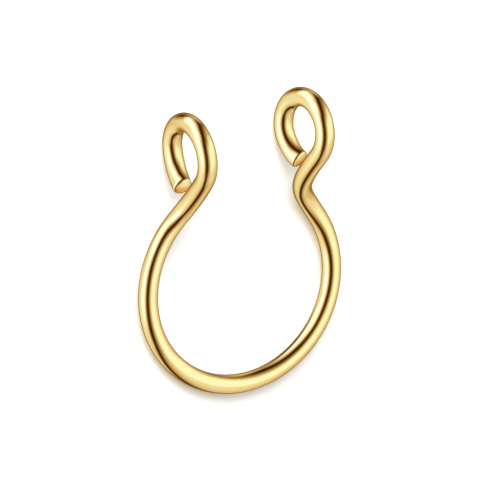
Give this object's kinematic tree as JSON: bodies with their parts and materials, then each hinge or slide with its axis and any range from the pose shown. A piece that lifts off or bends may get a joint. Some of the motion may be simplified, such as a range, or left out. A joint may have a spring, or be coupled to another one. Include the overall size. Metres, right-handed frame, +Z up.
{
  "type": "nose ring",
  "caption": "Clip-on nose ring of round gold-coloured wire: an open hoop whose two ends rise into round eyes that face each other across the opening.",
  "frame": {"origin": "on the surface the ring lies on, under the middle of its overall box", "axes": "+X from one eye to the other, +Y along the ring from the closed side of the hoop to the eyes, +Z up from the surface, the way the eyes stand"},
  "size_m": [0.01, 0.0124, 0.0034],
  "materials": {
    "gold_wire": "polished gold-coloured plating"
  },
  "bodies": {
    "root": {"ring_wire": "gold_wire"}
  },
  "joints": []
}
